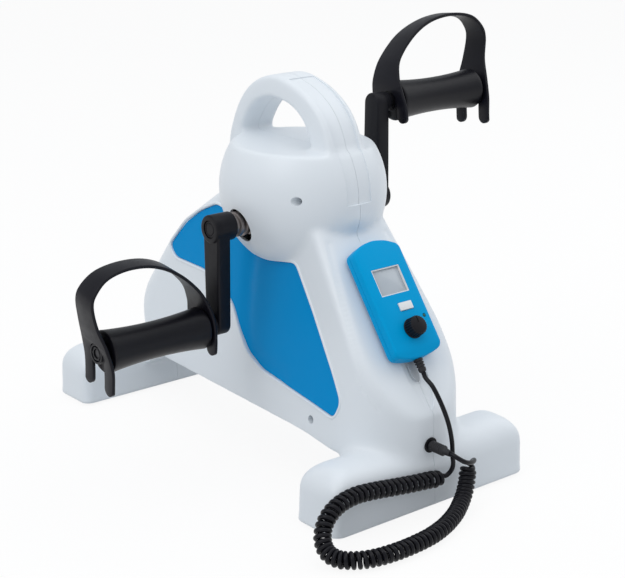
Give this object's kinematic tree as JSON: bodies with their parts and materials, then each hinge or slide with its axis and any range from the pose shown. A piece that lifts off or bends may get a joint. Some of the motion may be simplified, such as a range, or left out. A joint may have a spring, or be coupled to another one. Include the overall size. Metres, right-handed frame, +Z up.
{
  "type": "electric pedal exerciser",
  "caption": "Compact motor-driven pedal exerciser: moulded housing with carrying handle and bar feet, cranks with strapped bar pedals, and a hand control on a curly cord.",
  "frame": {"origin": "on the floor, under the middle of the feet (bottom centre of the box without the cord)", "axes": "+Z up; the user sits on the -Y side and faces +Y; +X to the user's right, along the crank axis"},
  "size_m": [0.4754, 0.516, 0.3995],
  "materials": {
    "housing_white": "satin moulded ABS",
    "panel_blue": "satin blue plastic",
    "control_blue": "semi-gloss blue plastic",
    "black_moulding": "satin black nylon",
    "strap_black": "flexible black plastic",
    "cord_black": "satin PVC",
    "pad_rubber": "matt rubber",
    "belt_rubber": "matt rubber",
    "steel": "ground steel",
    "frame_steel": "grey zinc plate",
    "gearbox_alloy": "die cast",
    "pulley_plastic": "natural nylon",
    "circuit_board": "green laminate",
    "screen_grey": "grey liquid crystal display",
    "button_white": "satin white plastic",
    "lamp_dark": "unlit lamp lens"
  },
  "bodies": {
    "base": {"housing_left": "housing_white", "housing_right": "housing_white", "side_panel_left": "panel_blue", "side_panel_right": "panel_blue", "housing_screw_skirt": "steel", "housing_screw_head": "steel", "foot_pad_front_left": "pad_rubber", "foot_pad_front_right": "pad_rubber", "foot_pad_rear_left": "pad_rubber", "foot_pad_rear_right": "pad_rubber", "drive_frame": "frame_steel", "bearing_left": "steel", "bearing_right": "steel", "gearbox_case": "gearbox_alloy", "motor_can": "steel", "control_board": "circuit_board", "drive_belt": "belt_rubber", "control_clip": "housing_white", "control_back": "control_blue", "control_front": "control_blue", "control_circuit": "circuit_board", "control_screen": "screen_grey", "power_light": "lamp_dark", "speed_pot": "steel", "strain_relief": "black_moulding", "cord_lead": "cord_black", "cord_coil": "cord_black", "cord_tail": "cord_black", "cord_plug": "black_moulding", "lead_jack": "black_moulding", "power_inlet": "black_moulding"},
    "crank": {"crank_shaft": "steel", "shaft_spacer_left": "steel", "shaft_spacer_right": "steel", "crank_pulley": "pulley_plastic", "crank_arm_left": "black_moulding", "crank_arm_right": "black_moulding", "crank_cap_left": "black_moulding", "crank_cap_right": "black_moulding", "pedal_spindle_left": "steel", "pedal_spindle_right": "steel", "spindle_nut_left": "black_moulding", "spindle_nut_right": "black_moulding"},
    "pedal_left": {"pedal_tube_left": "black_moulding", "pedal_strap_left": "strap_black"},
    "pedal_right": {"pedal_tube_right": "black_moulding", "pedal_strap_right": "strap_black"},
    "output": {"output_shaft": "steel", "motor_pulley": "steel"},
    "knob": {"speed_knob": "black_moulding"},
    "button": {"mode_button": "button_white"}
  },
  "joints": [
    {"name": "crank_spin", "type": "hinge", "parent": "base", "child": "crank", "pos_m": [0, -0.0354, 0.2334], "axis": [1, 0, 0], "continuous": true},
    {"name": "pedal_right_spin", "type": "hinge", "parent": "crank", "child": "pedal_right", "pos_m": [0.167, -0.0354, 0.3234], "axis": [1, 0, 0], "continuous": true},
    {"name": "pedal_left_spin", "type": "hinge", "parent": "crank", "child": "pedal_left", "pos_m": [-0.167, -0.0354, 0.1434], "axis": [1, 0, 0], "continuous": true},
    {"name": "output_spin", "type": "hinge", "parent": "base", "child": "output", "pos_m": [0, -0.0154, 0.118], "axis": [1, 0, 0], "continuous": true},
    {"name": "knob_turn", "type": "hinge", "parent": "base", "child": "knob", "pos_m": [0.0015, -0.17741, 0.14805], "axis": [0, -0.8018, 0.5976], "range_deg": [-150, 150]},
    {"name": "button_press", "type": "slide", "parent": "base", "child": "button", "axis": [0, 0.8018, -0.5976], "range_m": [0, 0.0008], "stiffness_N_per_m": 400}
  ],
  "couplings": [
    {"joint": "output_spin", "follows": "crank_spin", "ratio": 4.7273}
  ]
}
